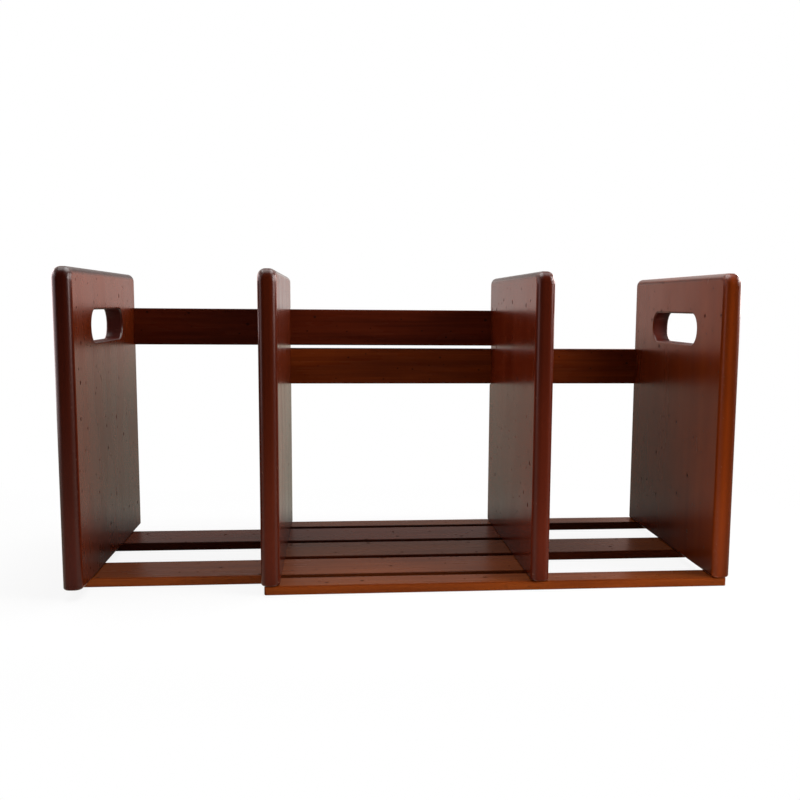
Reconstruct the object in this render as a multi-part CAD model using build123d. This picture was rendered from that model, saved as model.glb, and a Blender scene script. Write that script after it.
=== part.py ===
from build123d import *
import os

# Expandable wooden desktop book rack, in millimetres.
# Two frames stand on the desk and slide into each other along X.
# The left frame holds the left end panel, its inner panel, the upper rail and two slats.
# The right frame holds its inner panel, the right end panel, the lower rail and three slats.
# X runs to the right, Y to the rear, Z up. The origin is on the desk, under the middle of the rack.

# Frames
frame_length = 308.0
frame_offset = 122.0

# Panels
panel_height = 200.0
panel_thickness = 12.0
panel_front_corner_radius = 8.0
panel_rear_corner_radius = 5.8
panel_arris = 4.8
panel_foot_arris = 1.5

# Base slats, counted from the front
narrow_slat_width = 19.0
wide_slat_width = 39.0
slat_thickness = 6.0
slat_gap = 6.5
slat_edge_inset = 2.0
slat_end_inset = 2.0
slat_end_corner = 1.5
slat_upper_arris = 1.2
slat_lower_arris = 0.6

# Rear rails
rail_height = 28.5
rail_thickness = 8.0
rail_gap = 2.5
rail_drop = 26.0
rail_end_inset = 2.0
rail_end_corner = 1.2
rail_arris = 1.2

# Hand slots in the end panels
hand_slot_length = 90.0
hand_slot_height = 21.5
hand_slot_drop = 26.5
hand_slot_arris = 1.3

# Running clearances between the two frames
slat_running_gap = 0.6
slat_side_clearance = 1.8
rail_running_gap = 0.8
notch_mouth_radius = 2.5

# Countersunk wood screws, all alike
screw_length = 20.0
screw_diameter = 3.0
screw_head_diameter = 5.8
screw_head_rim = 0.3
screw_head_recess = 0.3
screw_point_length = 3.5
screw_point_diameter = 0.4
screw_cross_length = 3.2
screw_cross_width = 0.7
screw_cross_depth = 1.3
screw_clearance = 0.1
screw_spread_share = 0.5
narrow_slat_screws = 1
wide_slat_screws = 2
rail_screws = 2

# Cutting overrun and the tolerance used to pick edges
overrun = 5.0
pick_tolerance = 0.01

# The slats from front to rear, each with its width and its screws at each end
narrow_slat = (narrow_slat_width, narrow_slat_screws)
wide_slat = (wide_slat_width, wide_slat_screws)
slats = {
    "right_frame_front_slat": narrow_slat,
    "left_frame_front_slat": wide_slat,
    "right_frame_middle_slat": wide_slat,
    "left_frame_rear_slat": wide_slat,
    "right_frame_rear_slat": narrow_slat,
}

# Sizes that follow
slats_depth = sum(width for width, screws in slats.values())
rack_depth = 2 * slat_edge_inset + slats_depth + slat_gap * (len(slats) - 1)
rack_length = frame_length + frame_offset
rack_front = -rack_depth / 2
rack_rear = rack_depth / 2
panel_foot = slat_thickness
panel_top = panel_foot + panel_height
upper_rail_top = panel_top - rail_drop
upper_rail_bottom = upper_rail_top - rail_height
lower_rail_top = upper_rail_bottom - rail_gap
lower_rail_bottom = lower_rail_top - rail_height
left_frame_x = -rack_length / 2
right_frame_x = left_frame_x + frame_offset
inner_end_step = frame_length - panel_thickness


def slat_centres():
    """Each slat's middle in Y: the slats and the gaps between them, added up from the front."""
    centres = {}
    edge = rack_front + slat_edge_inset
    for name, (width, screws) in slats.items():
        centres[name] = edge + width / 2
        edge = edge + width + slat_gap
    return centres


slat_middles = slat_centres()


def is_left(name):
    """The left frame's pieces have names that begin with left."""
    return name.startswith("left")


def spread(width, count):
    """Screw places across a wooden piece, evenly spaced about its middle."""
    step = width * screw_spread_share
    return [(index - (count - 1) / 2) * step for index in range(count)]


# Screws: the local Z axis points into the wood, and zero is the face that the head sinks into


def screw():
    """A countersunk screw with a cross recess, its plain shank drawn at the thread's outer size."""
    head_radius = screw_head_diameter / 2
    shank_radius = screw_diameter / 2
    head_depth = head_radius - shank_radius
    head_foot = screw_head_recess + screw_head_rim
    outline = Polyline(
        (0, screw_head_recess),
        (head_radius, screw_head_recess),
        (head_radius, head_foot),
        (shank_radius, head_foot + head_depth),
        (shank_radius, screw_length - screw_point_length),
        (screw_point_diameter / 2, screw_length),
        (0, screw_length),
        close=True,
    )
    body = revolve(Plane.XZ * make_face(outline), Axis.Z)
    bar = Box(screw_cross_length, screw_cross_width, 2 * screw_cross_depth)
    recess = Pos(0, 0, screw_head_recess) * (bar + Rot(0, 0, 90) * bar)
    return body - recess


def screw_hole():
    """The screw's pocket: its outline with a clearance all round, open at the face."""
    head_radius = screw_head_diameter / 2 + screw_clearance
    shank_radius = screw_diameter / 2 + screw_clearance
    head_foot = screw_head_recess + screw_head_rim
    outline = Polyline(
        (0, -overrun),
        (head_radius, -overrun),
        (head_radius, head_foot),
        (shank_radius, head_foot + head_radius - shank_radius),
        (shank_radius, screw_length + screw_clearance),
        (0, screw_length + screw_clearance),
        close=True,
    )
    return revolve(Plane.XZ * make_face(outline), Axis.Z)


def base_screw_places(slat, panel_x):
    """Screws up through a slat into the panel that stands on it."""
    x = panel_x + panel_thickness / 2
    return [Pos(x, slat_middles[slat] + step, 0) for step in spread(*slats[slat])]


def rail_screw_places(rail_bottom, panel_x):
    """Screws forward through a rail into the floor of the panel's notch."""
    x = panel_x + panel_thickness / 2
    middle = rail_bottom + rail_height / 2
    turn = Rot(90, 0, 0)
    steps = spread(rail_height, rail_screws)
    return [Pos(x, rack_rear, middle + step) * turn for step in steps]


# Panels: the local X runs from zero through the panel's thickness


def panel_blank():
    """A board with rounded top corners and every long arris rounded over."""
    outline = Pos(0, panel_foot + panel_height / 2) * Rectangle(rack_depth, panel_height)
    rear_top = outline.vertices().sort_by(Axis.Y)[-2:].sort_by(Axis.X)[-1]
    outline = fillet(rear_top, panel_rear_corner_radius)
    front_top = outline.vertices().group_by(Axis.Y)[-1].sort_by(Axis.X)[0]
    outline = fillet(front_top, panel_front_corner_radius)
    board = extrude(Plane.YZ * outline, amount=panel_thickness)
    faces = board.faces().sort_by(Axis.X)
    rim = faces[0].edges() + faces[-1].edges()
    above_foot = [edge for edge in rim if edge.center().Z > panel_foot + pick_tolerance]
    board = fillet(above_foot, panel_arris)
    foot = board.faces().sort_by(Axis.Z)[0]
    return fillet(foot.edges(), panel_foot_arris)


def side_block(rear_depth, low, high):
    """A rectangle in the side view, from a depth inside the rear edge to past it."""
    depth = rear_depth + overrun
    return Pos(rack_rear - rear_depth + depth / 2, (low + high) / 2) * Rectangle(depth, high - low)


def rear_notch(spans):
    """The notch that holds or clears the rails: (low, high, depth) spans with an eased mouth."""
    low = min(span[0] for span in spans)
    high = max(span[1] for span in spans)
    outline = side_block(0, low - overrun, high + overrun)
    for span_low, span_high, depth in spans:
        outline = outline + side_block(depth, span_low, span_high)
    mouth = [
        corner
        for corner in outline.vertices()
        if abs(corner.X - rack_rear) < pick_tolerance
        and low - overrun + pick_tolerance < corner.Y < high + overrun - pick_tolerance
    ]
    outline = fillet(mouth, notch_mouth_radius)
    return Pos(-overrun, 0, 0) * extrude(Plane.YZ * outline, amount=panel_thickness + 2 * overrun)


def hand_slot(board):
    """Cuts the carrying slot near the panel's top and rounds both of its rims."""
    middle = panel_top - hand_slot_drop - hand_slot_height / 2
    outline = Pos(0, middle) * SlotOverall(hand_slot_length, hand_slot_height)
    cutter = Pos(-overrun, 0, 0) * extrude(Plane.YZ * outline, amount=panel_thickness + 2 * overrun)
    board = board - cutter
    faces = board.faces().filter_by(Axis.X).sort_by(Axis.X)
    rims = faces[0].inner_wires()[0].edges() + faces[-1].inner_wires()[0].edges()
    return fillet(rims, hand_slot_arris)


def slat_relief(slat):
    """A shallow channel under an inner panel, where a slat of the other frame runs."""
    width = slats[slat][0] + 2 * slat_side_clearance
    cutter = Box(panel_thickness + 2 * overrun, width, 2 * slat_running_gap)
    return Pos(panel_thickness / 2, slat_middles[slat], panel_foot) * cutter


def drill(piece, places, origin_x):
    """Takes the screw pockets out of a piece whose own X starts at origin_x."""
    pocket = screw_hole()
    for place in places:
        piece = piece - Pos(-origin_x, 0, 0) * place * pocket
    return piece


def panel(left, at_end, panel_x):
    """A finished panel: notch, slot or channels, and the pockets of the screws that hold it."""
    board = panel_blank()
    rail_bottom = upper_rail_bottom if left else lower_rail_bottom
    spans = [(rail_bottom, rail_bottom + rail_height, rail_thickness)]
    passing_depth = rail_thickness + rail_running_gap
    if not at_end and left:
        spans.append((lower_rail_bottom - rail_running_gap, upper_rail_bottom, passing_depth))
    if not at_end and not left:
        spans.append((lower_rail_top, upper_rail_top + rail_running_gap, passing_depth))
    board = board - rear_notch(spans)
    if at_end:
        board = hand_slot(board)
    places = rail_screw_places(rail_bottom, panel_x)
    for slat in slats:
        if is_left(slat) == left:
            places = places + base_screw_places(slat, panel_x)
        elif not at_end:
            board = board - slat_relief(slat)
    return Pos(panel_x, 0, 0) * drill(board, places, panel_x)


# Slats and rails


def slat(name, frame_x, panel_xs):
    """A base slat with eased edges and its countersunk screw holes, under both its panels."""
    length = frame_length - 2 * slat_end_inset
    bar = Box(length, slats[name][0], slat_thickness)
    bar = fillet(bar.edges().filter_by(Axis.Z), slat_end_corner)
    bar = fillet(bar.faces().sort_by(Axis.Z)[-1].edges(), slat_upper_arris)
    bar = fillet(bar.faces().sort_by(Axis.Z)[0].edges(), slat_lower_arris)
    bar = Pos(frame_x + frame_length / 2, slat_middles[name], slat_thickness / 2) * bar
    places = [place for x in panel_xs for place in base_screw_places(name, x)]
    return drill(bar, places, 0)


def rail(bottom, frame_x, panel_xs):
    """A rear rail with eased edges and its countersunk screw holes, let into both its panels."""
    length = frame_length - 2 * rail_end_inset
    bar = Box(length, rail_thickness, rail_height)
    bar = fillet(bar.edges().filter_by(Axis.Y), rail_end_corner)
    bar = fillet(bar.faces().sort_by(Axis.Y)[0].edges(), rail_arris)
    bar = fillet(bar.faces().sort_by(Axis.Y)[-1].edges(), rail_arris)
    y = rack_rear - rail_thickness / 2
    bar = Pos(frame_x + frame_length / 2, y, bottom + rail_height / 2) * bar
    places = [place for x in panel_xs for place in rail_screw_places(bottom, x)]
    return drill(bar, places, 0)


def screw_group(places):
    """The screws of one joint, as separate solids of one node."""
    return Compound(children=[place * screw() for place in places])


def frame(side, frame_x):
    """Every piece of one frame, by node name."""
    left = side == "left"
    end_x = frame_x if left else frame_x + inner_end_step
    inner_x = frame_x + inner_end_step if left else frame_x
    panel_xs = {"end": end_x, "inner": inner_x}
    rail_name = "upper_rail" if left else "lower_rail"
    rail_bottom = upper_rail_bottom if left else lower_rail_bottom
    pieces = {
        side + "_end_panel": panel(left, True, end_x),
        side + "_frame_inner_panel": panel(left, False, inner_x),
        rail_name: rail(rail_bottom, frame_x, panel_xs.values()),
    }
    for where, x in panel_xs.items():
        pieces[rail_name + "_" + where + "_screws"] = screw_group(rail_screw_places(rail_bottom, x))
    for name in slats:
        if is_left(name) == left:
            pieces[name] = slat(name, frame_x, panel_xs.values())
            for where, x in panel_xs.items():
                pieces[name + "_" + where + "_screws"] = screw_group(base_screw_places(name, x))
    return pieces


os.makedirs("parts", exist_ok=True)
rack = {**frame("left", left_frame_x), **frame("right", right_frame_x)}
for node, shape in rack.items():
    export_step(shape, "parts/" + node + ".step")
print("rack", rack_length, "x", rack_depth, "x", panel_top, "mm,", len(rack), "nodes")
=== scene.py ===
"""Dresses the desktop book rack: stained and lacquered boards, plated screws, a pale floor and soft light."""

import math
from types import SimpleNamespace

import bpy
import numpy as np
from bpy.props import FloatProperty, FloatVectorProperty, PointerProperty
from mathutils import Matrix, Vector


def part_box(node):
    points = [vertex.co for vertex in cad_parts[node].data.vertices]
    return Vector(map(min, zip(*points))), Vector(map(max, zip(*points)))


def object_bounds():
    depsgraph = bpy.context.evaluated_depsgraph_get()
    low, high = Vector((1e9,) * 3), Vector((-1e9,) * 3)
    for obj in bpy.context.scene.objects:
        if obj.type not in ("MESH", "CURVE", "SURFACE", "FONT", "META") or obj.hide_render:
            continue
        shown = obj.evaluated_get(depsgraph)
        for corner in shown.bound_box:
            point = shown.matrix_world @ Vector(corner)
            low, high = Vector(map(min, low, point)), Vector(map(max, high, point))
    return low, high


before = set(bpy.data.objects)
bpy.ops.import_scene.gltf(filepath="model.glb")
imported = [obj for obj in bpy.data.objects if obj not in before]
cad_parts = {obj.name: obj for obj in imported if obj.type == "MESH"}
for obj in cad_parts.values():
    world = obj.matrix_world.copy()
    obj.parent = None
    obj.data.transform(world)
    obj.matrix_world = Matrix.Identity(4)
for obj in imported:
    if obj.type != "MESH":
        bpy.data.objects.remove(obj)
cad_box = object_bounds()

bl_info = {
    "name": "Desktop book rack",
    "version": (1, 0, 0),
    "blender": (4, 5, 0),
    "location": "3D View > Sidebar > Book Rack",
    "description": "Stain, lacquer, screws, floor, lamps and camera of an expandable desktop book rack",
    "category": "Object",
}

NODE_STEP = 190.0
WHITE = (1.0, 1.0, 1.0, 1.0)

# The wooden pieces, from left to right or from front to rear
PANELS = ("left_end_panel", "right_frame_inner_panel", "left_frame_inner_panel", "right_end_panel")
RAILS = ("upper_rail", "lower_rail")
SLATS = (
    "right_frame_front_slat",
    "left_frame_front_slat",
    "right_frame_middle_slat",
    "left_frame_rear_slat",
    "right_frame_rear_slat",
)
BOARDS = (*PANELS, *RAILS, *SLATS)

# Turns that lay the grain along X and the board's thickness along Z
TURNS = {"panel": (0.0, math.pi / 2, 0.0), "rail": (math.pi / 2, 0.0, 0.0), "slat": (0.0, 0.0, 0.0)}

# How many times longer than wide one wave of the figure and one of the fibres is
FIGURE_STRETCH = 16.0
FIBRE_STRETCH = 40.0

# Keeps the marks of one board apart from those of the next
SEED_STEP = 7.3

# A box round the hand slots: its reach from the middle of a panel's depth, and its height, in metres
SLOT_DEPTH = 0.050
SLOT_HEIGHT = 0.190

# How far under a panel's faces its arrises begin, in metres
ARRIS_INSET = 0.00008

# Where a board's stain changes as painted light and shade, from the first place to the second, in metres
PANEL_FRONT_LIGHT = (0.06, -0.092)
PANEL_OUTSIDE_SHADE = (-0.0025, 0.0040)
PANEL_FOOT_SHADE = (0.075, 0.010)
RAIL_END_SHADOW = (0.11, 0.205)
COVERED_EDGE_SHADE = (-0.093, -0.078)

# Tones that the stain is multiplied by, for the grain and for painted shade, and the bare wood where an arris
# is rubbed
DEEP_TONE = (0.50, 0.42, 0.45, 1.0)
FOOT_SHADE_TONE = (0.35, 0.42, 0.50, 1.0)
PALE_TONE = (1.45, 1.75, 1.70, 1.0)
RUBBED_WOOD = (0.55, 0.33, 0.24, 1.0)

COAT_INDEX = 1.5


def tint(label, text, default):
    """A colour property."""
    return FloatVectorProperty(
        name=label, description=text, subtype="COLOR", size=3, min=0.0, max=1.0, default=default
    )


def stain(label, default):
    """A colour property for one board's stain."""
    return tint(label, "Stain colour of the " + label.lower(), default)


def length(label, text, default):
    """A small length in metres, shown in the scene's own unit."""
    return FloatProperty(name=label, description=text, default=default, min=0.0, unit="LENGTH", precision=5)


def share(label, text, default):
    """A share from nought to one."""
    return FloatProperty(name=label, description=text, default=default, min=0.0, max=1.0, subtype="FACTOR")


def level(label, text, default):
    """A level of brightness, where one is white."""
    return FloatProperty(name=label, description=text, default=default, min=0.0)


def power(label, text, default):
    """A lamp's power in watts."""
    return FloatProperty(name=label, description=text, default=default, min=0.0, unit="POWER")


def angle(label, text, default):
    """An angle in radians, shown in degrees."""
    return FloatProperty(name=label, description=text, default=default, subtype="ANGLE")


def each(label, text, default):
    """One number for each board of a kind, from left to right or from front to rear."""
    size = len(default)
    return FloatVectorProperty(name=label, description=text, size=size, min=0.0, max=2.0, default=default)


class BOOKRACK_PG_stain(bpy.types.PropertyGroup):
    """Each board's stain on its broad faces, as it looks under the lacquer in plain light."""

    # The stains differ from board to board partly as real boards do and partly as painted light and shade:
    # each is set to how bright that board came out where it stood in the light.
    left_end_panel: stain("Left end panel", (0.104, 0.0136, 0.0022))
    right_frame_inner_panel: stain("Right frame's inner panel", (0.098, 0.0138, 0.0042))
    left_frame_inner_panel: stain("Left frame's inner panel", (0.130, 0.0150, 0.0036))
    right_end_panel: stain("Right end panel", (0.080, 0.0110, 0.0022))
    upper_rail: stain("Upper rail", (0.100, 0.0130, 0.0032))
    lower_rail: stain("Lower rail", (0.190, 0.0310, 0.0042))
    right_frame_front_slat: stain("Right frame's front slat", (0.175, 0.0400, 0.0075))
    left_frame_front_slat: stain("Left frame's front slat", (0.165, 0.0370, 0.0070))
    right_frame_middle_slat: stain("Right frame's middle slat", (0.100, 0.0240, 0.0050))
    left_frame_rear_slat: stain("Left frame's rear slat", (0.092, 0.0165, 0.0040))
    right_frame_rear_slat: stain("Right frame's rear slat", (0.110, 0.0250, 0.0045))


class BOOKRACK_PG_edge_stain(bpy.types.PropertyGroup):
    """Each board's stain on its long edges, lighter or darker than on its faces, and the hand slots' own."""

    # As on the faces, the edge stains differ partly as real boards do and partly as painted light and shade.
    left_end_panel: stain("Left end panel's edges", (0.052, 0.0064, 0.0024))
    right_frame_inner_panel: stain("Right frame's inner panel's edges", (0.080, 0.0105, 0.0029))
    left_frame_inner_panel: stain("Left frame's inner panel's edges", (0.086, 0.0120, 0.0045))
    right_end_panel: stain("Right end panel's edges", (0.178, 0.0262, 0.0026))
    upper_rail: stain("Upper rail's edges", (0.080, 0.0110, 0.0030))
    lower_rail: stain("Lower rail's edges", (0.110, 0.0160, 0.0030))
    right_frame_front_slat: stain("Right frame's front slat's edges", (0.240, 0.0460, 0.0060))
    left_frame_front_slat: stain("Left frame's front slat's edges", (0.330, 0.0720, 0.0140))
    # The middle and rear slats' edges lie in the narrow gaps between the slats: their dark stain is painted
    # shade.
    right_frame_middle_slat: stain("Right frame's middle slat's edges", (0.070, 0.0120, 0.0030))
    left_frame_rear_slat: stain("Left frame's rear slat's edges", (0.040, 0.0070, 0.0020))
    right_frame_rear_slat: stain("Right frame's rear slat's edges", (0.040, 0.0080, 0.0020))
    # The hand slots' walls are darker partly as painted shade inside the slots.
    slot_walls: stain("Hand slots' walls", (0.065, 0.0075, 0.0032))


class BOOKRACK_PG_grain(bpy.types.PropertyGroup):
    """How the grain shows through the stain, where the stain is darker (partly as painted shade) or lighter
    (as painted light), and the small marks in the wood.
    """

    panel_figure: share("Panel figure", "How much the broad figure darkens the panels", 0.25)
    rail_figure: share("Rail figure", "How much the broad figure darkens the rails", 0.60)
    slat_figure: share("Slat figure", "How much the broad figure darkens the slats", 0.35)
    panel_figure_width: length("Panel figure width", "Width of one band of the panels' figure", 0.016)
    rail_figure_width: length("Rail figure width", "Width of one band of the rails' figure", 0.007)
    slat_figure_width: length("Slat figure width", "Width of one band of the slats' figure", 0.010)
    panel_fibre_width: length("Panel fibre width", "Width of one streak on the panels", 0.0160)
    rail_fibre_width: length("Rail fibre width", "Width of one streak on the rails", 0.0016)
    slat_fibre_width: length("Slat fibre width", "Width of one streak on the slats", 0.0016)
    panel_pores: share("Panel pores", "How much the pores darken the panels", 0.01)
    rail_pores: share("Rail pores", "How much the pores darken the rails", 0.50)
    slat_pores: share("Slat pores", "How much the pores darken the slats", 0.60)
    streaks: share("Streaks", "How much the fibres lighten and darken the stain", 0.30)
    # The same tone also darkens the painted shade on edges.
    pore_and_shade_tone: share("Pore tone", "How dark the pores and marks are, as a share of the stain's colour", 0.30)
    end_grain: share("End grain", "How much darker the stain is on end grain", 0.35)
    # The arris darkening set below is painted shade: a dark line along each arris, set board by board.
    panel_arris: each("Panel arrises", "How much darker the panels' arrises are", (0.25, 0.40, 0.15, 0.0))
    rail_arris: each("Rail arrises", "How much darker the rails' arrises are", (0.50, 0.50))
    slat_arris: each("Slat arrises", "How much darker the slats' arrises are", (0.70, 0.70, 0.70, 0.70, 0.70))
    # Painted shade on the panels' faces near the slats.
    panel_foot_shade: share("Panel foot", "How much darker the panels' faces are near the slats", 0.45)
    # Painted shade on the second slat's edges where the front slat stands before them.
    covered_edge_shade: share("Covered edge", "How much darker the second slat's edges are behind the first", 0.95)
    # Painted light: the right end panel's face lighter and more golden towards its front edge, where more
    # light falls on it.
    right_front_light: share("Right panel's front", "How far its face takes on its edges' stain to the front", 0.65)
    # Painted shade on the right end panel's edges towards its outer face.
    right_outside_shade: share("Right panel's outside", "How much darker its edges are towards the outside", 0.80)
    # Painted shadow on the lower rail towards the right end panel.
    right_rail_end_shadow: share("Lower rail's end", "How much darker the lower rail is towards its right end", 0.85)
    fleck_spacing: length("Fleck spacing", "Width of the cells that may hold a dark fleck", 0.022)
    fleck_size: length("Fleck size", "Half the width of the largest fleck", 0.0018)
    dot_spacing: length("Dot spacing", "Width of the cells that may hold a dark dot", 0.011)
    dot_size: length("Dot size", "Half the width of the largest dot", 0.0010)
    nib_spacing: length("Nib spacing", "Width of the cells that may hold a rubbed spot on an arris", 0.0035)
    nib_size: length("Nib size", "Half the width of the largest rubbed spot", 0.00045)


class BOOKRACK_PG_lacquer(bpy.types.PropertyGroup):
    """The thin satin lacquer. It mirrors most at a glancing angle and is thicker on the panels' arrises."""

    panel_index: each("Panel index", "Refractive index of the panels' lacquer", (1.195, 1.15, 1.103, 1.132))
    rail_index: each("Rail index", "Refractive index of the rails' lacquer", (1.15, 1.15))
    slat_index: each("Slat index", "Refractive index of the slats' lacquer", (1.11, 1.11, 1.10, 1.105, 1.11))
    panel_roughness: each("Panel roughness", "Roughness of the panels' lacquer", (0.27, 0.22, 0.21, 0.25))
    rail_roughness: each("Rail roughness", "Roughness of the rails' lacquer", (0.27, 0.27))
    slat_roughness: each("Slat roughness", "Roughness of the slats' lacquer", (0.27, 0.27, 0.27, 0.27, 0.27))
    build_up: each("Build-up", "How thick the lacquer is on the panels' arrises", (0.20, 0.26, 0.26, 0.12))
    top_build_up: share("Top build-up", "How much thicker it is along the panels' top arrises", 0.60)
    build_up_roughness: share("Build-up roughness", "Roughness of the lacquer where it is thicker", 0.28)
    slot_roughness: share("Slot roughness", "Roughness of the lacquer on the hand slots' walls", 0.60)
    unevenness: share("Unevenness", "How much the roughness changes over the surface", 0.05)
    relief: length("Relief", "Full height of the marks in the lacquer's surface", 0.000022)
    ripple: length("Ripple", "Width of one wave of the lacquer's ripple", 0.011)


class BOOKRACK_PG_stage(bpy.types.PropertyGroup):
    """The floor, the lamps and the surroundings, which have levels and tints of their own where the lacquer
    mirrors them."""

    floor_radius: length("Floor radius", "Radius of the round floor", 4.0)
    shadow_reach: length("Shadow reach", "How far from the rack the floor turns plain white", 0.20)
    shadow_depth: share("Shadow depth", "Share of the lamps' own shading on the floor at the rack", 0.13)
    sheet_edge: length("Sheet edge", "How far from the rack the pale sheet under it ends", 0.30)
    key_power: power("Key lamp", "Soft lamp close by at the right", 3.2)
    side_power: power("Side lamp", "Soft lamp high at the right", 4.0)
    top_power: power("Top lamp", "Wide soft lamp overhead", 18.0)
    left_power: power("Left lamp", "Narrow lamp at the left", 0.3)
    over_power: power("Over-left lamp", "Soft lamp high at the left", 0.5)
    low_power: power("Low lamp", "Light that comes up from the floor in front", 0.22)
    right_sheet_power: power("Right sheet", "Lit sheet at the right, seen in the lacquer alone", 30.0)
    left_sheet_power: power("Left sheet", "Lit sheet at the left, seen in the lacquer alone", 12.0)
    surroundings: level("Surroundings", "Soft light from all round", 0.14)
    horizon: level("Mirrored backdrop", "Level of the backdrop behind, as mirrored", 0.90)
    horizon_aside: level("Mirrored sides", "Level of the backdrop's sides, as mirrored", 3.65)
    horizon_beyond: level("Mirrored far sides", "Level beyond the backdrop's sides, as mirrored", 1.60)
    heights: level("Mirrored heights", "Level just above the backdrop, as mirrored", 0.08)
    heights_aside: level("Mirrored heights aside", "Level above the backdrop's sides, as mirrored", 0.50)
    upper: level("Mirrored upper wall", "Level high up behind, as mirrored", 1.10)
    overhead: level("Mirrored overhead", "Level overhead, as mirrored", 0.50)
    room: level("Mirrored room", "Level of the room in front, as mirrored", 0.12)
    # Painted shade: the floor under the rack, dark as mirrored.
    floor_under_shade: level("Mirrored floor under", "Level of the floor under the rack, as mirrored", 0.08)
    floor_beside: level("Mirrored floor beside", "Level of the floor beside the rack, as mirrored", 0.48)
    floor_far: level("Mirrored floor far off", "Level of the floor far behind, as mirrored", 0.66)
    floor_front: level("Mirrored floor in front", "Level of the floor close in front, as mirrored", 0.95)
    floor_room: level("Mirrored floor of the room", "Level of the floor far in front, as mirrored", 0.20)
    horizon_tint: tint("Backdrop tint", "Colour of the backdrop, as mirrored", (1.0, 0.97, 0.94))
    aside_tint: tint("Sides' tint", "Colour of the backdrop's sides, as mirrored", (1.0, 0.49, 0.385))
    floor_tint: tint("Floor tint", "Colour of the floor, as mirrored", (1.0, 0.93, 0.76))


class BOOKRACK_PG_camera(bpy.types.PropertyGroup):
    """The camera that sees the rack as photographed."""

    place: FloatVectorProperty(
        name="Place",
        description="Where the camera stands, in the rack's own frame",
        subtype="TRANSLATION",
        unit="LENGTH",
        size=3,
        default=(-0.04496, -0.68071, 0.18450),
    )
    yaw: angle("Yaw", "Turn to the left, from straight to the rear", -0.095382)
    pitch: angle("Pitch", "Tilt above the level", -0.119957)
    roll: angle("Roll", "Turn about the line of sight", -0.007679)
    lens: FloatProperty(name="Lens", description="Focal length", unit="CAMERA", default=42.55, min=1.0)
    shift_x: FloatProperty(name="Shift X", description="Sideways shift, in picture widths", default=-0.03256)
    shift_y: FloatProperty(name="Shift Y", description="Upward shift, in picture widths", default=0.02315)


# Small helpers for node trees


def add_node(tree, kind, reads=None, **settings):
    """Adds a node with its settings. reads maps a socket to a plain value or to another node's output."""
    node = tree.nodes.new(kind)
    node.location.x = NODE_STEP * len(tree.nodes)
    for name, value in settings.items():
        setattr(node, name, value)
    for socket, value in (reads or {}).items():
        if isinstance(value, bpy.types.NodeSocket):
            tree.links.new(value, node.inputs[socket])
        else:
            node.inputs[socket].default_value = value
    return node


def calc(tree, operation, first, second=0.0, third=0.0):
    """The result of one math node."""
    return add_node(tree, "ShaderNodeMath", {0: first, 1: second, 2: third}, operation=operation).outputs[0]


def calc_vector(tree, operation, first, second=(0.0, 0.0, 0.0)):
    """The vector that one vector math node gives."""
    node = add_node(tree, "ShaderNodeVectorMath", {0: first, 1: second}, operation=operation)
    return node.outputs["Vector"]


def parts_of(tree, vector):
    """The X, Y and Z outputs of a vector."""
    return add_node(tree, "ShaderNodeSeparateXYZ", {0: vector}).outputs


def noise(tree, vector, detail=2.0, roughness=0.5, distortion=0.0):
    """Smooth noise from nought to one, one wave to each unit of the vector."""
    shape = {"Scale": 1.0, "Detail": detail, "Roughness": roughness, "Distortion": distortion}
    return add_node(tree, "ShaderNodeTexNoise", {"Vector": vector, **shape}).outputs["Fac"]


def ramp(tree, value, low, high, to_low=0.0, to_high=1.0):
    """Turns low to high into to_low to to_high with eased ends, and holds it there outside."""
    reads = {"Value": value, "From Min": low, "From Max": high, "To Min": to_low, "To Max": to_high}
    return add_node(tree, "ShaderNodeMapRange", reads, interpolation_type="SMOOTHSTEP").outputs["Result"]


def blend(tree, factor, first, second):
    """Two numbers mixed by a factor."""
    return add_node(tree, "ShaderNodeMix", {0: factor, 2: first, 3: second}).outputs[0]


def blend_colour(tree, factor, first, second, mode="MIX"):
    """Two colours mixed by a factor."""
    reads = {0: factor, 6: first, 7: second}
    return add_node(tree, "ShaderNodeMix", reads, data_type="RGBA", blend_type=mode).outputs[2]


def stretched(tree, vector, along, across):
    """The vector in waves: one wave is along long down the grain and across wide over it."""
    size = add_node(tree, "ShaderNodeCombineXYZ", {"X": along, "Y": across, "Z": across}).outputs[0]
    return calc_vector(tree, "DIVIDE", vector, size)


def new_group(name, inputs, outputs):
    """A shader node group with named sockets. inputs maps a name to a default, a vector or a number."""
    tree = bpy.data.node_groups.new(name, "ShaderNodeTree")
    for label, default in inputs.items():
        kind = "NodeSocketVector" if isinstance(default, tuple) else "NodeSocketFloat"
        tree.interface.new_socket(label, in_out="INPUT", socket_type=kind).default_value = default
    for label in outputs:
        tree.interface.new_socket(label, in_out="OUTPUT", socket_type="NodeSocketFloat")
    return tree, add_node(tree, "NodeGroupInput").outputs, add_node(tree, "NodeGroupOutput")


# The effects that several materials share


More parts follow.
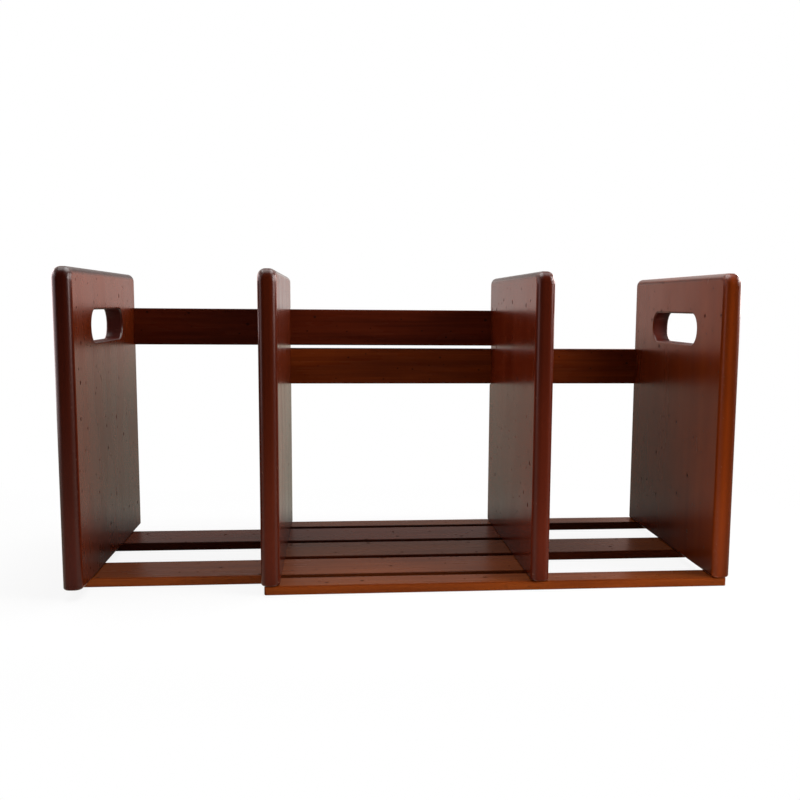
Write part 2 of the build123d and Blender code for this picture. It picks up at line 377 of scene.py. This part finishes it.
def grain_group():
    """Grain of a sawn board that runs along X: a broad wavy figure, fibres and short dark pores."""
    inputs = {
        "Vector": (0.0, 0.0, 0.0),
        "Figure Length": 0.26,
        "Figure Width": 0.016,
        "Wander": 0.008,
        "Fibre Length": 0.060,
        "Fibre Width": 0.0016,
        "Pore Length": 0.0045,
        "Pore Width": 0.0004,
    }
    tree, given, made = new_group("board grain", inputs, ("Figure", "Fibre", "Pores"))
    drift = add_node(tree, "ShaderNodeTexNoise", {"Vector": given["Vector"], "Scale": 9.0, "Detail": 1.0})
    drift = calc_vector(tree, "SUBTRACT", drift.outputs["Color"], (0.5, 0.5, 0.5))
    drift = add_node(tree, "ShaderNodeVectorMath", {0: drift, "Scale": given["Wander"]}, operation="SCALE")
    line = calc_vector(tree, "ADD", given["Vector"], drift.outputs["Vector"])
    figure = noise(tree, stretched(tree, line, given["Figure Length"], given["Figure Width"]), 1.5, 0.5, 0.2)
    fibre = noise(tree, stretched(tree, given["Vector"], given["Fibre Length"], given["Fibre Width"]), 1.0)
    dashes = noise(tree, stretched(tree, line, given["Pore Length"], given["Pore Width"]), 1.0)
    patches = noise(tree, stretched(tree, line, given["Fibre Length"], given["Figure Width"]), 1.0)
    pores = calc(tree, "MULTIPLY", ramp(tree, dashes, 0.62, 0.72), ramp(tree, patches, 0.40, 0.70, 0.1, 1.0))
    tree.links.new(ramp(tree, figure, 0.32, 0.70), made.inputs["Figure"])
    tree.links.new(fibre, made.inputs["Fibre"])
    tree.links.new(pores, made.inputs["Pores"])
    return tree


def mark_group():
    """Scattered marks, longer down the grain. The pattern is wrapped round the board and has a mark in some
    of its loose cells, in other places on opposite faces. End grain has none."""
    inputs = {
        "Vector": (0.0, 0.0, 0.0),
        "Normal": (0.0, 0.0, 1.0),
        "Seed": 0.0,
        "Spacing": 0.009,
        "Size": 0.0006,
        "Stretch": 1.2,
        "Share": 0.35,
    }
    tree, given, made = new_group("scattered marks", inputs, ("Marks",))
    place = parts_of(tree, given["Vector"])
    turn = parts_of(tree, given["Normal"])
    facing = parts_of(tree, calc_vector(tree, "ABSOLUTE", given["Normal"]))
    over_face = calc(tree, "MULTIPLY", place["Y"], facing["Z"])
    over = calc(tree, "MULTIPLY_ADD", place["Z"], facing["Y"], over_face)
    shift = calc(tree, "MULTIPLY_ADD", calc(tree, "ROUND", turn["Z"]), 1.7, given["Seed"])
    tall = calc(tree, "MULTIPLY", given["Spacing"], given["Stretch"])
    down = calc(tree, "ADD", calc(tree, "DIVIDE", place["X"], tall), shift)
    over = calc(tree, "ADD", calc(tree, "DIVIDE", over, given["Spacing"]), shift)
    cells = add_node(tree, "ShaderNodeCombineXYZ", {"X": down, "Y": over}).outputs[0]
    reads = {"Vector": cells, "Scale": 1.0, "Randomness": 1.0}
    spots = add_node(tree, "ShaderNodeTexVoronoi", reads, voronoi_dimensions="2D").outputs
    parts = add_node(tree, "ShaderNodeSeparateColor", {0: spots["Color"]}).outputs
    chosen = calc(tree, "LESS_THAN", parts[0], given["Share"])
    chosen = calc(tree, "MULTIPLY", chosen, ramp(tree, facing["X"], 0.8, 0.4))
    reach = calc(tree, "MULTIPLY", spots["Distance"], given["Spacing"])
    size = calc(tree, "MULTIPLY", given["Size"], ramp(tree, parts[1], 0.0, 1.0, 0.40, 1.0))
    spot = calc(tree, "MULTIPLY", ramp(tree, calc(tree, "DIVIDE", reach, size), 1.0, 0.35), chosen)
    tree.links.new(spot, made.inputs["Marks"])
    return tree


def edge_group():
    """What part of a board a spot is on, told from the normal: the long edges, the rounded arrises and their
    worn patches, the arrises along the top, the end grain, and the sawn walls of a slot that lies within the
    given depth and height. Nothing further than Half from the board's Middle is an arris or a wall."""
    inputs = {
        "Vector": (0.0, 0.0, 0.0),
        "Normal": (0.0, 0.0, 1.0),
        "Slot Depth": 0.0,
        "Slot Height": 0.0,
        "Middle": 0.0,
        "Half": 1.0,
    }
    outputs = ("Edge", "Arris", "Top", "Worn", "End Grain", "Sawn")
    tree, given, made = new_group("board edges", inputs, outputs)
    facing = parts_of(tree, calc_vector(tree, "ABSOLUTE", given["Normal"]))
    place = parts_of(tree, calc_vector(tree, "ABSOLUTE", given["Vector"]))
    largest = calc(tree, "MAXIMUM", facing["X"], calc(tree, "MAXIMUM", facing["Y"], facing["Z"]))
    off_middle = calc(tree, "ABSOLUTE", calc(tree, "SUBTRACT", place["Z"], given["Middle"]))
    between = calc(tree, "LESS_THAN", off_middle, given["Half"])
    turn = calc(tree, "MULTIPLY", between, ramp(tree, largest, 0.985, 0.80))
    top = calc(tree, "MULTIPLY", ramp(tree, facing["X"], 0.15, 0.50), ramp(tree, facing["Z"], 0.10, 0.35))
    patches = noise(tree, stretched(tree, given["Vector"], 0.020, 0.008), 3.0, 0.6)
    within = calc(tree, "MULTIPLY", between, calc(tree, "LESS_THAN", place["Y"], given["Slot Depth"]))
    within = calc(tree, "MULTIPLY", within, calc(tree, "LESS_THAN", place["X"], given["Slot Height"]))
    tree.links.new(ramp(tree, facing["Z"], 0.998, 0.88), made.inputs["Edge"])
    tree.links.new(turn, made.inputs["Arris"])
    tree.links.new(calc(tree, "MULTIPLY", between, top), made.inputs["Top"])
    tree.links.new(calc(tree, "MULTIPLY", turn, ramp(tree, patches, 0.42, 0.62)), made.inputs["Worn"])
    tree.links.new(ramp(tree, facing["X"], 0.55, 0.90), made.inputs["End Grain"])
    tree.links.new(calc(tree, "MULTIPLY", within, ramp(tree, facing["Z"], 0.90, 0.30)), made.inputs["Sawn"])
    return tree


def effect(tree, name, reads):
    """Places a shared effect in a material, building it the first time, and returns its outputs."""
    makers = {"board grain": grain_group, "scattered marks": mark_group, "board edges": edge_group}
    group = bpy.data.node_groups.get(name) or makers[name]()
    return add_node(tree, "ShaderNodeGroup", reads, node_tree=group).outputs


# Materials


def opaque(colour):
    """A colour with its alpha."""
    return (*colour, 1.0)


def fields_of(tree, board, kind, grain):
    """What changes over a board: the place along it, the lines of its grain, its marks, and its parts."""
    where = add_node(tree, "ShaderNodeTexCoord").outputs["Object"]
    along = add_node(tree, "ShaderNodeMapping", {"Vector": where, "Rotation": TURNS[kind]}).outputs[0]
    facing = add_node(tree, "ShaderNodeNewGeometry").outputs["Normal"]
    reads = {"Vector": facing, "Rotation": TURNS[kind]}
    facing = add_node(tree, "ShaderNodeMapping", reads, vector_type="VECTOR").outputs[0]
    here = {"Vector": along, "Normal": facing}
    middle = 0.0
    limits = {}
    if kind == "panel":
        low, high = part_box(board)
        middle = abs(low.x + high.x) / 2
        half = (high.x - low.x) / 2 - ARRIS_INSET
        limits = {"Slot Depth": SLOT_DEPTH, "Slot Height": SLOT_HEIGHT, "Middle": middle, "Half": half}
    figure_width = getattr(grain, kind + "_figure_width")
    fibre_width = getattr(grain, kind + "_fibre_width")
    bands = {
        "Figure Width": figure_width,
        "Figure Length": figure_width * FIGURE_STRETCH,
        "Fibre Width": fibre_width,
        "Fibre Length": fibre_width * FIBRE_STRETCH,
    }
    lines = effect(tree, "board grain", {"Vector": along, **bands})
    parts = effect(tree, "board edges", {**here, **limits})

    fainter = calc(tree, "SUBTRACT", 1.0, calc(tree, "MULTIPLY", parts["Edge"], 0.8))
    marks = {**here, "Seed": SEED_STEP * BOARDS.index(board)}
    flecks = {"Spacing": grain.fleck_spacing, "Size": grain.fleck_size, "Share": 0.60}
    dots = {"Spacing": grain.dot_spacing, "Size": grain.dot_size, "Share": 0.50}
    nibs = {"Spacing": grain.nib_spacing, "Size": grain.nib_size, "Stretch": 1.5, "Share": 0.40}
    return SimpleNamespace(
        along=along,
        run=parts_of(tree, along),
        middle=middle,
        lines=lines,
        parts=parts,
        flecks=calc(tree, "MULTIPLY", effect(tree, "scattered marks", {**marks, **flecks})["Marks"], fainter),
        dots=calc(tree, "MULTIPLY", effect(tree, "scattered marks", {**marks, **dots})["Marks"], fainter),
        nibs=effect(tree, "scattered marks", {**marks, **nibs})["Marks"],
    )


def stain_colour(tree, at, board, kind, place, scene):
    """The stain over a board: that of its faces, edges and slot, toned by its grain, parts and marks. Some
    steps paint shade: on arrises, on the panels' faces near the slats, at the lower rail's right end, on the
    right end panel's outer edges and on the slat edges behind the front slat; one paints light on the right
    end panel's face towards its front.
    """
    grain = scene.bookrack_grain
    face = opaque(getattr(scene.bookrack_stain, board))
    edge = opaque(getattr(scene.bookrack_edge_stain, board))
    walls = opaque(scene.bookrack_edge_stain.slot_walls)
    to_front_light = grain.right_front_light if board == "right_end_panel" else 0.0
    to_outside_shade = grain.right_outside_shade if board == "right_end_panel" else 0.0
    to_foot_shade = grain.panel_foot_shade if kind == "panel" else 0.0
    to_end_shadow = grain.right_rail_end_shadow if board == "lower_rail" else 0.0
    to_covered_shade = grain.covered_edge_shade if board == "left_frame_front_slat" else 0.0

    # Painted light: the right end panel's face takes on its lighter edge stain towards the front.
    edge_share = calc(tree, "MAXIMUM", at.parts["Edge"], ramp(tree, at.run["Y"], *PANEL_FRONT_LIGHT, 0.0, to_front_light))
    body = blend_colour(tree, edge_share, face, edge)
    # The slot walls' darker stain is partly painted shade inside the slots.
    body = blend_colour(tree, at.parts["Sawn"], body, walls)
    outward = calc(tree, "SUBTRACT", calc(tree, "ABSOLUTE", at.run["Z"]), at.middle)
    outside = ramp(tree, outward, *PANEL_OUTSIDE_SHADE, 0.0, to_outside_shade)
    foot = ramp(tree, calc(tree, "ABSOLUTE", at.run["X"]), *PANEL_FOOT_SHADE, 0.0, to_foot_shade)
    on_face = ramp(tree, at.parts["Edge"], 0.0, 0.5, 1.0, 0.0)
    covered = ramp(tree, at.run["X"], *COVERED_EDGE_SHADE, 0.0, to_covered_shade)
    cloud = noise(tree, stretched(tree, at.along, 0.09, 0.045), 2.0)
    # Tone of the pores and marks, also used for painted shade on edges.
    dark_tone = (grain.pore_and_shade_tone, grain.pore_and_shade_tone, grain.pore_and_shade_tone, 1.0)
    steps = (
        (calc(tree, "MULTIPLY", at.lines["Figure"], getattr(grain, kind + "_figure")), DEEP_TONE),
        (ramp(tree, at.lines["Fibre"], 0.50, 0.78, 0.0, grain.streaks), PALE_TONE),
        (ramp(tree, at.lines["Fibre"], 0.50, 0.22, 0.0, grain.streaks), DEEP_TONE),
        (ramp(tree, cloud, 0.35, 0.70, 0.0, 0.30), DEEP_TONE),
        # Painted shadow on the lower rail towards the right end panel.
        (ramp(tree, at.run["X"], *RAIL_END_SHADOW, 0.0, to_end_shadow), DEEP_TONE),
        (calc(tree, "MULTIPLY", at.parts["End Grain"], grain.end_grain), DEEP_TONE),
        # Painted shade: a dark line along the arrises.
        (calc(tree, "MULTIPLY", at.parts["Arris"], getattr(grain, kind + "_arris")[place]), DEEP_TONE),
        # Painted shade on the right end panel's edges towards its outer face.
        (calc(tree, "MULTIPLY", at.parts["Edge"], outside), dark_tone),
        # Painted shade on the second slat's edges where the front slat stands before them.
        (calc(tree, "MULTIPLY", at.parts["Edge"], covered), dark_tone),
        # Painted shade on the panels' faces near the slats.
        (calc(tree, "MULTIPLY", foot, on_face), FOOT_SHADE_TONE),
        (calc(tree, "MULTIPLY", at.lines["Pores"], getattr(grain, kind + "_pores")), dark_tone),
        (calc(tree, "MULTIPLY", at.flecks, 0.95), dark_tone),
        (calc(tree, "MULTIPLY", at.dots, 0.90), dark_tone),
    )
    for amount, tone in steps:
        body = blend_colour(tree, amount, body, tone, "MULTIPLY")
    rubbed = calc(tree, "MULTIPLY", at.nibs, at.parts["Worn"])
    return blend_colour(tree, calc(tree, "MULTIPLY", rubbed, 0.8), body, RUBBED_WOOD)


def lacquer_roughness(tree, at, roughness, skin):
    """The lacquer's roughness: uneven in patches and down the fibres, and duller on marks and slot walls."""
    patches = noise(tree, stretched(tree, at.along, 0.06, 0.02), 3.0)
    half = skin.unevenness / 2
    rough = ramp(tree, patches, 0.3, 0.7, roughness - half, roughness + half)
    rough = calc(tree, "MULTIPLY_ADD", at.lines["Fibre"], 0.03, calc(tree, "SUBTRACT", rough, 0.015))
    rough = calc(tree, "MAXIMUM", rough, calc(tree, "MAXIMUM", at.flecks, at.dots))
    return calc(tree, "MAXIMUM", rough, calc(tree, "MULTIPLY", at.parts["Sawn"], skin.slot_roughness))


def surface_height(tree, at, skin):
    """The lacquer's surface, as a share of its relief: a soft ripple, with the grain and the marks in it."""
    ripple = noise(tree, stretched(tree, at.along, skin.ripple, skin.ripple), 1.0)
    height = calc(tree, "MULTIPLY", ripple, 0.30)
    steps = (
        (at.lines["Fibre"], 0.010),
        (at.lines["Pores"], -0.003),
        (at.flecks, -0.80),
        (at.dots, -0.40),
        (at.nibs, 0.30),
    )
    for mark, rise in steps:
        height = calc(tree, "MULTIPLY_ADD", mark, rise, height)
    return height


def lacquered_wood(board, kind, place, scene):
    """Stained wood with its grain down the board, under a thin satin lacquer that follows the marks in it."""
    skin = scene.bookrack_lacquer
    material = bpy.data.materials.new(board + "_wood")
    material.use_nodes = True
    tree = material.node_tree
    shader = tree.nodes["Principled BSDF"]
    at = fields_of(tree, board, kind, scene.bookrack_grain)
    tree.links.new(stain_colour(tree, at, board, kind, place, scene), shader.inputs["Base Color"])
    rough = lacquer_roughness(tree, at, getattr(skin, kind + "_roughness")[place], skin)
    tree.links.new(rough, shader.inputs["Roughness"])
    shader.inputs["IOR"].default_value = getattr(skin, kind + "_index")[place]
    if kind == "panel":
        thick = calc(tree, "MULTIPLY", at.parts["Arris"], skin.build_up[place])
        thick = calc(tree, "MULTIPLY_ADD", at.parts["Top"], skin.top_build_up, thick)
        tree.links.new(thick, shader.inputs["Coat Weight"])
        shader.inputs["Coat IOR"].default_value = COAT_INDEX
        shader.inputs["Coat Roughness"].default_value = skin.build_up_roughness
    reads = {"Height": surface_height(tree, at, skin), "Strength": 1.0, "Distance": skin.relief}
    bump = add_node(tree, "ShaderNodeBump", reads)
    tree.links.new(bump.outputs["Normal"], shader.inputs["Normal"])
    return material


def plated_steel():
    """Zinc-plated steel of the screws: pale grey metal, a little cloudy, with fine grit in its surface."""
    material = bpy.data.materials.new("zinc_plated_steel")
    material.use_nodes = True
    tree = material.node_tree
    shader = tree.nodes["Principled BSDF"]
    where = add_node(tree, "ShaderNodeTexCoord").outputs["Object"]
    cloud = noise(tree, stretched(tree, where, 0.004, 0.004), 3.0)
    grit = noise(tree, stretched(tree, where, 0.0006, 0.0006), 2.0)
    pale = (0.62, 0.60, 0.56, 1.0)
    dull = (0.50, 0.49, 0.47, 1.0)
    tree.links.new(blend_colour(tree, ramp(tree, cloud, 0.3, 0.7), pale, dull), shader.inputs["Base Color"])
    tree.links.new(ramp(tree, grit, 0.3, 0.7, 0.28, 0.42), shader.inputs["Roughness"])
    shader.inputs["Metallic"].default_value = 1.0
    bump = add_node(tree, "ShaderNodeBump", {"Height": grit, "Strength": 0.5, "Distance": 0.00002})
    tree.links.new(bump.outputs["Normal"], shader.inputs["Normal"])
    return material


def finish_node(name, material):
    """Gives a carried-over piece its material."""
    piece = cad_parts[name]
    if not piece.material_slots:
        piece.data.materials.append(material)
    for slot in piece.material_slots:
        slot.material = material


def finish_boards(names, kind, context):
    """Gives each of the named boards a lacquered wood of its own."""
    for place, name in enumerate(names):
        finish_node(name, lacquered_wood(name, kind, place, context.scene))


class BOOKRACK_OT_panels(bpy.types.Operator):
    """Stain and lacquer the four panels, with upright grain"""

    bl_idname = "bookrack.panels"
    bl_label = "Finish the panels"

    def execute(self, context):
        finish_boards(PANELS, "panel", context)
        return {"FINISHED"}


class BOOKRACK_OT_rails(bpy.types.Operator):
    """Stain and lacquer the two rear rails, with the grain along them"""

    bl_idname = "bookrack.rails"
    bl_label = "Finish the rails"

    def execute(self, context):
        finish_boards(RAILS, "rail", context)
        return {"FINISHED"}


class BOOKRACK_OT_slats(bpy.types.Operator):
    """Stain and lacquer the five base slats, with the grain along them"""

    bl_idname = "bookrack.slats"
    bl_label = "Finish the slats"

    def execute(self, context):
        finish_boards(SLATS, "slat", context)
        return {"FINISHED"}


class BOOKRACK_OT_screws(bpy.types.Operator):
    """Plate the countersunk screws under the slats and behind the rails"""

    bl_idname = "bookrack.screws"
    bl_label = "Finish the screws"

    def execute(self, context):
        steel = plated_steel()
        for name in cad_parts:
            if name.endswith("_screws"):
                finish_node(name, steel)
        return {"FINISHED"}


# The stage


def floor_material(settings):
    """Pale floor: near the rack it shows part of the lamps' own shading, and further out it turns plain
    white. A pale sheet under the rack throws light back up at it. The lacquer mirrors the floor as a glow of
    levels of its own: dark under the rack as painted shade, rising to far behind it, and falling from close
    in front to the room."""
    material = bpy.data.materials.new("pale_floor")
    material.use_nodes = True
    tree = material.node_tree
    tree.nodes.remove(tree.nodes["Principled BSDF"])
    where = add_node(tree, "ShaderNodeTexCoord").outputs["Object"]
    half = Vector(cad_box[1])
    outside = parts_of(tree, calc_vector(tree, "SUBTRACT", calc_vector(tree, "ABSOLUTE", where), half))
    beside = calc(tree, "MAXIMUM", outside["X"], outside["Y"])
    shade = ramp(tree, beside, 0.0, settings.shadow_reach, settings.shadow_depth, 0.0)
    tone = ramp(tree, beside, settings.sheet_edge * 0.2, settings.sheet_edge, 0.90, 0.20)
    tone = add_node(tree, "ShaderNodeCombineColor", {"Red": tone, "Green": tone, "Blue": tone}).outputs[0]
    path = add_node(tree, "ShaderNodeLightPath").outputs
    seen = calc(tree, "MAXIMUM", path["Is Camera Ray"], path["Is Glossy Ray"])
    seen = calc(tree, "MAXIMUM", seen, path["Is Transmission Ray"])
    white = calc(tree, "MULTIPLY", seen, calc(tree, "SUBTRACT", 1.0, shade))
    # The floor as mirrored glows at levels of its own, dark under the rack as painted shade.
    rear = ramp(tree, beside, -0.02, 0.10, settings.floor_under_shade, settings.floor_beside)
    further = ramp(tree, beside, 0.2, 2.2, 0.0, settings.floor_far - settings.floor_beside)
    front = ramp(tree, beside, 0.10, 0.90, settings.floor_front, settings.floor_room)
    in_front = calc(tree, "LESS_THAN", parts_of(tree, where)["Y"], -0.05)
    mirrored = blend(tree, in_front, calc(tree, "ADD", rear, further), front)
    strength = blend(tree, path["Is Glossy Ray"], 1.0, mirrored)
    colour = blend_colour(tree, path["Is Glossy Ray"], WHITE, opaque(settings.floor_tint))
    plain = add_node(tree, "ShaderNodeBsdfDiffuse", {"Color": tone}).outputs[0]
    bright = add_node(tree, "ShaderNodeEmission", {"Color": colour, "Strength": strength}).outputs[0]
    mixed = add_node(tree, "ShaderNodeMixShader", {0: white, 1: plain, 2: bright}).outputs[0]
    tree.links.new(mixed, tree.nodes["Material Output"].inputs["Surface"])
    return material


def disc(name, radius, rings, spokes):
    """A flat round sheet: ring k of n lies at the radius times the square of k over n, and spoke t of m at
    the full turn times t over m. Rings are joined by quads, and the first one to the middle by triangles."""
    turn = np.linspace(0.0, 2.0 * np.pi, spokes, endpoint=False)
    reach = radius * np.linspace(0.0, 1.0, rings + 1)[1:] ** 2
    x = np.outer(reach, np.cos(turn))
    y = np.outer(reach, np.sin(turn))
    points = np.stack([x, y, np.zeros_like(x)], axis=-1).reshape(-1, 3)
    points = np.vstack([points, np.zeros((1, 3))])
    ring, spoke = np.meshgrid(np.arange(rings - 1), np.arange(spokes), indexing="ij")
    after = (spoke + 1) % spokes
    quads = np.stack([ring, ring + 1, ring + 1, ring], axis=-1) * spokes
    quads = (quads + np.stack([spoke, spoke, after, after], axis=-1)).reshape(-1, 4)
    step = np.arange(spokes)
    caps = np.stack([np.full(spokes, rings * spokes), step, (step + 1) % spokes], axis=-1)
    mesh = bpy.data.meshes.new(name)
    mesh.from_pydata(points.tolist(), [], quads.tolist() + caps.tolist())
    piece = bpy.data.objects.new(name, mesh)
    bpy.context.scene.collection.objects.link(piece)
    return piece


def area_lamp(name, place, target, size, watts, colour=(1.0, 1.0, 1.0), lights=True, mirrored=True):
    """A soft rectangular lamp that looks at a point. lights and mirrored tell whether it lights the wood
    itself and whether the lacquer mirrors it."""
    lamp = bpy.data.lights.new(name, "AREA")
    lamp.shape = "RECTANGLE"
    lamp.size, lamp.size_y = size
    lamp.energy = watts
    lamp.color = colour
    holder = bpy.data.objects.new(name, lamp)
    look = Vector(target) - Vector(place)
    holder.matrix_world = Matrix.Translation(place) @ look.to_track_quat("-Z", "Y").to_matrix().to_4x4()
    holder.visible_camera = False
    holder.visible_diffuse = lights
    holder.visible_glossy = mirrored
    bpy.context.scene.collection.objects.link(holder)


def surroundings(settings):
    """A white backdrop all round. The lacquer mirrors it plain low behind the rack, brighter and warmer to
    both sides, the left a little sooner, dim just above, bright again high up, and dim to the front. Each
    pair of numbers is a stretch of the direction's X, Y or Z over which one level turns into the next."""
    world = bpy.data.worlds.new("studio")
    world.use_nodes = True
    bpy.context.scene.world = world
    tree = world.node_tree
    way = parts_of(tree, add_node(tree, "ShaderNodeTexCoord").outputs["Generated"])
    sideways = calc(tree, "ABSOLUTE", way["X"])
    left_sooner = 0.050
    spread = calc(tree, "MULTIPLY_ADD", calc(tree, "LESS_THAN", way["X"], 0.0), left_sooner, sideways)
    low = blend(tree, ramp(tree, spread, 0.255, 0.330), settings.horizon, settings.horizon_aside)
    low = blend(tree, ramp(tree, spread, 0.375, 0.480), low, settings.horizon_beyond)
    low = blend(tree, ramp(tree, sideways, 0.55, 0.85), low, settings.horizon)
    high = blend(tree, ramp(tree, sideways, 0.12, 0.42), settings.heights, settings.heights_aside)
    mirrored = blend(tree, ramp(tree, way["Z"], 0.05, 0.26), low, high)
    mirrored = blend(tree, ramp(tree, way["Z"], 0.29, 0.34), mirrored, settings.upper)
    mirrored = blend(tree, ramp(tree, way["Z"], 0.45, 0.80), mirrored, settings.overhead)
    mirrored = blend(tree, ramp(tree, way["Y"], -0.6, 0.0), settings.room, mirrored)
    path = add_node(tree, "ShaderNodeLightPath").outputs
    seen = calc(tree, "MAXIMUM", path["Is Camera Ray"], path["Is Transmission Ray"])
    strength = blend(tree, path["Is Glossy Ray"], settings.surroundings, mirrored)
    strength = blend(tree, seen, strength, 1.0)
    aside = ramp(tree, sideways, 0.17, 0.30)
    near_level = ramp(tree, way["Z"], 0.04, 0.22, 1.0, 0.25)
    warm = calc(tree, "MULTIPLY", aside, near_level)
    colour = blend_colour(tree, warm, opaque(settings.horizon_tint), opaque(settings.aside_tint))
    colour = blend_colour(tree, path["Is Glossy Ray"], WHITE, colour)
    shader = tree.nodes["Background"]
    tree.links.new(colour, shader.inputs["Color"])
    tree.links.new(strength, shader.inputs["Strength"])


class BOOKRACK_OT_stage(bpy.types.Operator):
    """Lay the pale floor and set the lamps and the surroundings"""

    bl_idname = "bookrack.stage"
    bl_label = "Set the stage"

    def execute(self, context):
        settings = context.scene.bookrack_stage
        floor = disc("floor", settings.floor_radius, rings=48, spokes=96)
        floor.data.materials.append(floor_material(settings))
        rack = (0.0, 0.0, 0.08)
        cool = (0.97, 0.93, 1.0)
        pink = (1.0, 0.90, 0.88)
        lilac = (1.0, 0.86, 0.92)
        area_lamp("key_lamp", (0.62, -0.36, 0.40), rack, (0.3, 0.3), settings.key_power)
        area_lamp("side_lamp", (0.80, -0.15, 0.70), rack, (0.4, 0.4), settings.side_power)
        area_lamp("top_lamp", (0.0, 0.25, 1.3), (0.0, 0.0, 0.0), (1.4, 1.0), settings.top_power)
        area_lamp("left_lamp", (-0.9, -0.5, 0.25), rack, (0.12, 0.6), settings.left_power, cool)
        area_lamp("over_lamp", (-0.60, 0.05, 0.75), rack, (0.4, 0.4), settings.over_power, mirrored=False)
        area_lamp(
            "low_lamp",
            (0.0, -0.17, 0.002),
            (0.0, -0.17, 1.0),
            (0.5, 0.12),
            settings.low_power,
            mirrored=False,
        )
        area_lamp(
            "right_sheet",
            (0.95, 0.40, 0.42),
            (0.0, 0.40, 0.42),
            (1.8, 0.50),
            settings.right_sheet_power,
            pink,
            lights=False,
        )
        area_lamp(
            "left_sheet",
            (-0.95, 0.40, 0.34),
            (0.0, 0.40, 0.34),
            (1.8, 0.66),
            settings.left_sheet_power,
            lilac,
            lights=False,
        )
        surroundings(settings)
        context.scene.view_settings.view_transform = "Standard"
        return {"FINISHED"}


class BOOKRACK_OT_camera(bpy.types.Operator):
    """Set up the camera at the photographed angle"""

    bl_idname = "bookrack.camera"
    bl_label = "Place the camera"

    def execute(self, context):
        settings = context.scene.bookrack_camera
        camera = bpy.data.cameras.new("camera")
        camera.sensor_width = 36.0
        camera.lens = settings.lens
        camera.shift_x = settings.shift_x
        camera.shift_y = settings.shift_y
        holder = bpy.data.objects.new("camera", camera)
        flat = math.cos(settings.pitch)
        sideways = math.sin(settings.yaw)
        rearward = math.cos(settings.yaw)
        ahead = Vector((-sideways * flat, rearward * flat, math.sin(settings.pitch)))
        right = Vector((rearward, sideways, 0.0))
        down = ahead.cross(right)
        across = right * math.cos(settings.roll) + down * math.sin(settings.roll)
        below = down * math.cos(settings.roll) - right * math.sin(settings.roll)
        turn = Matrix((across, -below, -ahead)).transposed()
        holder.matrix_world = Matrix.Translation(settings.place) @ turn.to_4x4()
        context.scene.collection.objects.link(holder)
        context.scene.camera = holder
        return {"FINISHED"}


class BOOKRACK_PT_sidebar(bpy.types.Panel):
    """The steps that dress the rack, and their settings"""

    bl_idname = "BOOKRACK_PT_sidebar"
    bl_label = "Book Rack"
    bl_space_type = "VIEW_3D"
    bl_region_type = "UI"
    bl_category = "Book Rack"

    def draw(self, context):
        layout = self.layout
        for step in STEPS:
            layout.operator(step.bl_idname)
        for group in SETTINGS:
            box = layout.box()
            settings = getattr(context.scene, group)
            for name in settings.bl_rna.properties.keys():
                if name not in ("rna_type", "name"):
                    box.prop(settings, name)


STEPS = (
    BOOKRACK_OT_panels,
    BOOKRACK_OT_rails,
    BOOKRACK_OT_slats,
    BOOKRACK_OT_screws,
    BOOKRACK_OT_stage,
    BOOKRACK_OT_camera,
)
SETTINGS = {
    "bookrack_stain": BOOKRACK_PG_stain,
    "bookrack_edge_stain": BOOKRACK_PG_edge_stain,
    "bookrack_grain": BOOKRACK_PG_grain,
    "bookrack_lacquer": BOOKRACK_PG_lacquer,
    "bookrack_stage": BOOKRACK_PG_stage,
    "bookrack_camera": BOOKRACK_PG_camera,
}


def register():
    """Registers the classes and hangs their settings on the scene."""
    for kind in (*SETTINGS.values(), *STEPS, BOOKRACK_PT_sidebar):
        bpy.utils.register_class(kind)
    for name, kind in SETTINGS.items():
        setattr(bpy.types.Scene, name, PointerProperty(type=kind))


def unregister():
    """Takes the settings off the scene and the classes out again."""
    for name in SETTINGS:
        delattr(bpy.types.Scene, name)
    for kind in reversed((*SETTINGS.values(), *STEPS, BOOKRACK_PT_sidebar)):
        bpy.utils.unregister_class(kind)


def main():
    """Registers the classes and dresses the rack step by step."""
    register()
    bpy.ops.bookrack.panels()
    bpy.ops.bookrack.rails()
    bpy.ops.bookrack.slats()
    bpy.ops.bookrack.screws()
    bpy.ops.bookrack.stage()
    bpy.ops.bookrack.camera()


if __name__ == "__main__":
    main()
